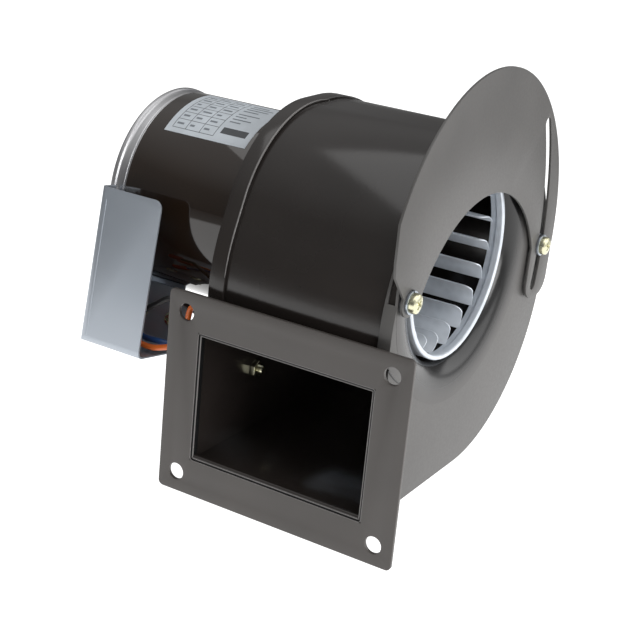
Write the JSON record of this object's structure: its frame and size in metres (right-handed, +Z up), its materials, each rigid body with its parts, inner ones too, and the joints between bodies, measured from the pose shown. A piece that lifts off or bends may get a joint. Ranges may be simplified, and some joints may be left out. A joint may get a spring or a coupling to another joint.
{
  "type": "combustion fan",
  "caption": "Flange-mounted centrifugal blower: forward-curved wheel in a scroll housing, enclosed motor on one side, swinging crescent air shutter on the inlet side.",
  "frame": {"origin": "centre of the four outlet-flange holes, on the flange's front face", "axes": "-Y out of the outlet, +X towards the inlet along the fan axis, +Z up"},
  "size_m": [0.1493, 0.1407, 0.1696],
  "materials": {
    "housing_paint": "semi-gloss",
    "motor_paint": "gloss",
    "cap_steel": "satin",
    "zinc_plate": "satin",
    "galvanised": "satin",
    "yellow_zinc": "satin",
    "shaft_steel": "ground",
    "lamination": "dull",
    "winding": "varnished",
    "bronze": "satin",
    "rotor_aluminium": "cast",
    "felt": "matt",
    "insulation": "matt",
    "black_rubber": "matt",
    "orange_wire": "satin",
    "black_wire": "satin",
    "blue_wire": "satin",
    "red_plastic": "satin",
    "black_oxide": "oiled",
    "label_foil": "satin"
  },
  "bodies": {
    "housing": {"scroll_wrapper": "housing_paint", "motor_side_plate": "housing_paint", "inlet_side_plate": "housing_paint", "outlet_flange": "housing_paint", "cutoff_tongue": "housing_paint", "motor_shell": "motor_paint", "motor_end_cap": "cap_steel", "stator_core": "lamination", "stator_coils": "winding", "coil_insulators": "insulation", "shading_rings": "winding", "bearing_front": "bronze", "bearing_rear": "bronze", "bearing_retainers": "zinc_plate", "oil_wicks": "felt", "motor_mount_screws": "yellow_zinc", "motor_mount_nuts": "zinc_plate", "shutter_screws": "yellow_zinc", "shutter_washers": "zinc_plate", "shutter_spacers": "zinc_plate", "shutter_nuts": "zinc_plate", "wiring_box": "zinc_plate", "wiring_bracket": "zinc_plate", "wiring_box_screws": "yellow_zinc", "lead_grommet": "black_rubber", "lead_orange": "orange_wire", "lead_black": "black_wire", "lead_blue": "blue_wire", "wire_connectors": "red_plastic", "ground_screw": "yellow_zinc", "ground_nut": "yellow_zinc", "motor_label": "label_foil"},
    "rotor": {"motor_shaft": "shaft_steel", "rotor_core": "lamination", "rotor_end_rings": "rotor_aluminium", "thrust_washers": "insulation", "wheel_hub": "zinc_plate", "wheel_set_screw": "black_oxide", "wheel_back_plate": "galvanised", "wheel_blades": "galvanised", "wheel_end_ring": "galvanised"},
    "shutter": {"shutter_plate": "housing_paint"}
  },
  "joints": [
    {"name": "wheel_spin", "type": "hinge", "parent": "housing", "child": "rotor", "pos_m": [0, 0.0615, 0.0573], "axis": [1, 0, 0], "continuous": true},
    {"name": "shutter_swing", "type": "hinge", "parent": "housing", "child": "shutter", "pos_m": [0.0396, 0.013, 0.0548], "axis": [1, 0, 0], "range_deg": [-26.5, 8]}
  ]
}
